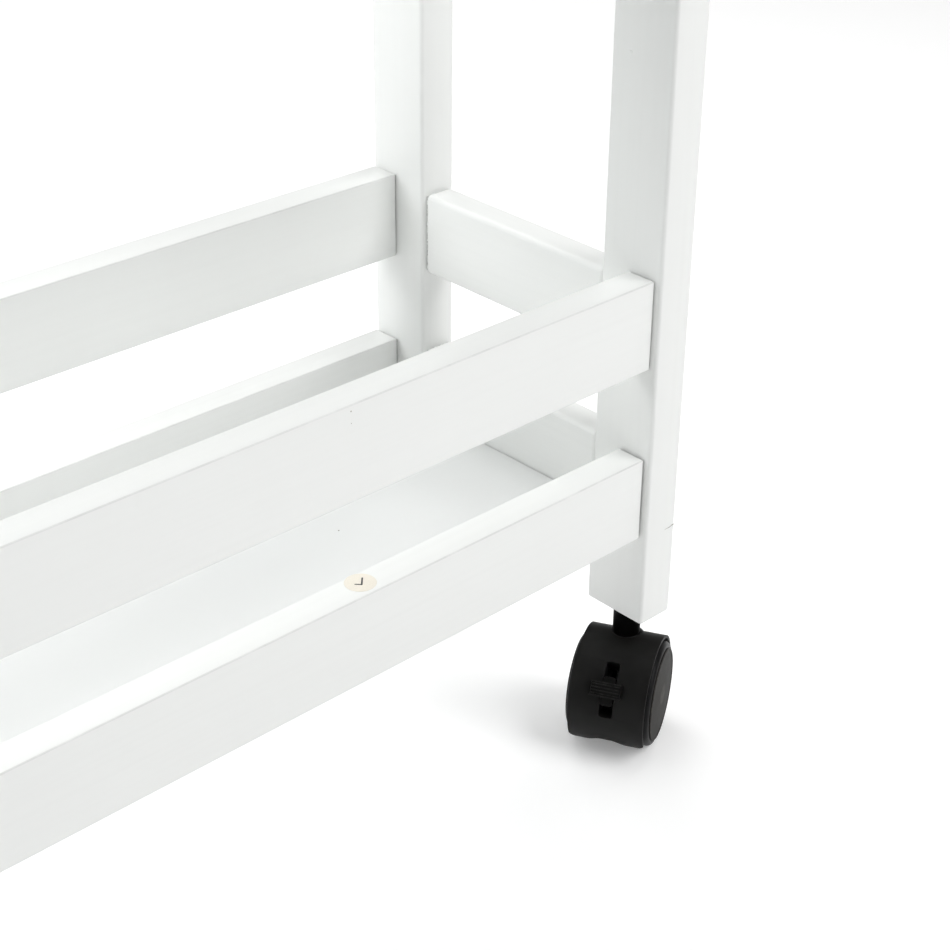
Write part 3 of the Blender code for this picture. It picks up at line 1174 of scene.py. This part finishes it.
class CART_OT_brakes(bpy.types.Operator):
    """Make the brake levers with their ribbed tabs"""

    bl_idname = "pantry_cart.brakes"
    bl_label = "Brake levers"

    def execute(self, context):
        caster = settings().caster
        plastic = plastic_finish("brake_plastic", shade(caster.hood_colour, 0.85), 0.46, 0.9, 0.06)
        master = finish_mesh("brake_master", self.make_shape(), plastic, 34.0, 0.0003)
        for corner, (place, _) in caster_places().items():
            if corner in BRAKED:
                node = f"caster_{corner}_brake"
                put_copy(master, place, node, "caster_plastic", node)
        bpy.data.objects.remove(master)
        return {"FINISHED"}

    def make_shape(self):
        caster = settings().caster
        middle = LEVER_TURN
        radius = caster.hood_radius
        spread = math.degrees(math.atan2(0.0035, 0.0240))
        arm = arc(0.0052, middle + 90, middle + 270, 14)
        arm += arc(math.hypot(0.0240, 0.0035), middle - spread, middle + spread, 1)
        start, end = TAB_TURNS
        tab = sector(radius + 0.0003, radius + 0.0022, start, end, 14)
        joined = [
            rounded_slot(0.0029, *PLATE_TURNS, 0.0212, radius + 0.0008, SLOT_CORNER),
            extruded_shape(tab, TAB_LEFT, TAB_RIGHT),
        ]
        base, top, rib_top = radius + 0.0015, radius + 0.0027, radius + 0.0025
        rim, rim_wide = 1.2, 0.0006
        for low, high in ((start, start + rim), (end - rim, end)):
            joined.append(extruded_shape(sector(base, top, low, high, 3), TAB_LEFT, TAB_RIGHT))
        for left, right in ((TAB_LEFT, TAB_LEFT + rim_wide), (TAB_RIGHT - rim_wide, TAB_RIGHT)):
            joined.append(extruded_shape(sector(base, top, start, end, 12), left, right))
        gap = (end - start - 2 * rim) / caster.rib_count
        for rib in range(caster.rib_count):
            turn = start + rim + gap * (rib + 0.5)
            outline = sector(base, rib_top, turn - 0.55, turn + 0.55, 2)
            joined.append(extruded_shape(outline, TAB_LEFT + 0.0003, TAB_RIGHT - 0.0003))
        bore = drum(-0.01, 0.01, 0.0026, 32)
        lever = extruded_shape(arm, -0.0008, 0.0008)
        return carved(lever, joined, [bore], 0.00014, 2, 40.0)


class CART_OT_pins(bpy.types.Operator):
    """Make the steel stems with their collars, and finish the axles"""

    bl_idname = "pantry_cart.pins"
    bl_label = "Stems and axles"

    def execute(self, context):
        dark = steel_finish("stem_steel", (0.030, 0.029, 0.028), 0.50)
        bright = steel_finish("axle_steel", (0.42, 0.42, 0.43), 0.34)
        for corner in CORNERS:
            node = f"caster_{corner}_stem"
            low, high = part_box(node)
            middle = (low + high) / 2
            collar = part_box(f"post_{corner}")[0].z - 0.0003
            profile = [(low.z, 0), (low.z, 0.0034), (low.z + 0.0006, 0.0040)]
            profile += [(collar - 0.0011, 0.0040), (collar - 0.0011, 0.0062)]
            profile += [(collar - 0.0009, 0.0064), (collar - 0.0002, 0.0064)]
            profile += [(collar, 0.0062), (collar, 0.0040)]
            profile += [(high.z - 0.0015, 0.0040), (high.z, 0.0028), (high.z, 0)]
            shape = moved(turned_shape(profile, "Z", 48), (middle.x, middle.y, 0))
            stem = finish_mesh(f"{node}_turned", shape, dark)
            settle(stem, "frame", "black_steel", node)
            axle = frame["nodes"][f"caster_{corner}_axle"]
            axle.data.materials.clear()
            axle.data.materials.append(bright)
        return {"FINISHED"}


# Stage


class CART_OT_stage(bpy.types.Operator):
    """Make the floor, the soft lights and the camera"""

    bl_idname = "pantry_cart.stage"
    bl_label = "Stage"

    def execute(self, context):
        stage = settings().stage
        shape = bmesh.new()
        bmesh.ops.create_grid(shape, x_segments=24, y_segments=24, size=14.0)
        floor = finish_mesh("floor", shape, floor_finish())
        self.light_room(stage.room_light)
        for name, (at, size, power, tint) in LAMPS.items():
            self.add_lamp(name, at, size, power * stage.lamp_power, tint)
        self.add_camera(stage.lens)
        context.scene.view_settings.view_transform = "Standard"
        return {"FINISHED"}

    def light_room(self, strength):
        world = bpy.data.worlds.new("studio")
        world.use_nodes = True
        background = world.node_tree.nodes["Background"]
        background.inputs["Color"].default_value = (1.0, 1.0, 1.0, 1.0)
        background.inputs["Strength"].default_value = strength
        bpy.context.scene.world = world

    def add_lamp(self, name, at, size, power, tint):
        """A round soft lamp that faces the lower half of the cart."""
        data = bpy.data.lights.new(name, "AREA")
        data.shape = "DISK"
        data.size = size
        data.energy = power
        data.color = tint
        lamp = placed(name, data)
        lamp.location = at
        aim = LAMPS_FACE - Vector(at)
        lamp.rotation_euler = aim.to_track_quat("-Z", "Y").to_euler()

    def add_camera(self, lens):
        """The camera looks down on the right-hand front corner of the bottom tray."""
        data = bpy.data.cameras.new("camera")
        data.sensor_width = 36.0
        data.lens = lens
        data.shift_x = CAMERA_SHIFT[0]
        data.shift_y = CAMERA_SHIFT[1]
        data.clip_start = 0.01
        camera = placed("camera", data)
        camera.location = CAMERA_AT
        camera.rotation_euler = [math.radians(turn) for turn in CAMERA_TURN]
        bpy.context.scene.camera = camera


OPERATORS = (
    CART_OT_posts,
    CART_OT_long_rails,
    CART_OT_end_rails,
    CART_OT_shelves,
    CART_OT_joint_lines,
    CART_OT_label,
    CART_OT_paint_marks,
    CART_OT_hoods,
    CART_OT_wheels,
    CART_OT_brakes,
    CART_OT_pins,
    CART_OT_stage,
)


class CART_PT_panel(bpy.types.Panel):
    bl_idname = "CART_PT_panel"
    bl_label = "Pantry Cart"
    bl_space_type = "VIEW_3D"
    bl_region_type = "UI"
    bl_category = "Pantry Cart"

    def draw(self, context):
        column = self.layout.column(align=True)
        for operator in OPERATORS:
            column.operator(operator.bl_idname)
        for group in ("wood", "caster", "label", "stage"):
            box = self.layout.box()
            box.label(text=group.title())
            values = getattr(context.scene.pantry_cart, group)
            for name in values.bl_rna.properties.keys():
                if name not in ("rna_type", "name"):
                    box.prop(values, name)


CLASSES = (
    WoodSettings,
    CasterSettings,
    LabelSettings,
    StageSettings,
    PantryCartSettings,
    *OPERATORS,
    CART_PT_panel,
)


def register():
    for cls in CLASSES:
        bpy.utils.register_class(cls)
    bpy.types.Scene.pantry_cart = PointerProperty(type=PantryCartSettings)


def unregister():
    del bpy.types.Scene.pantry_cart
    for cls in reversed(CLASSES):
        bpy.utils.unregister_class(cls)


def main():
    register()
    bpy.ops.pantry_cart.posts()
    bpy.ops.pantry_cart.long_rails()
    bpy.ops.pantry_cart.end_rails()
    bpy.ops.pantry_cart.shelves()
    bpy.ops.pantry_cart.joint_lines()
    bpy.ops.pantry_cart.label()
    bpy.ops.pantry_cart.paint_marks()
    bpy.ops.pantry_cart.hoods()
    bpy.ops.pantry_cart.wheels()
    bpy.ops.pantry_cart.brakes()
    bpy.ops.pantry_cart.pins()
    bpy.ops.pantry_cart.stage()


if __name__ == "__main__":
    main()
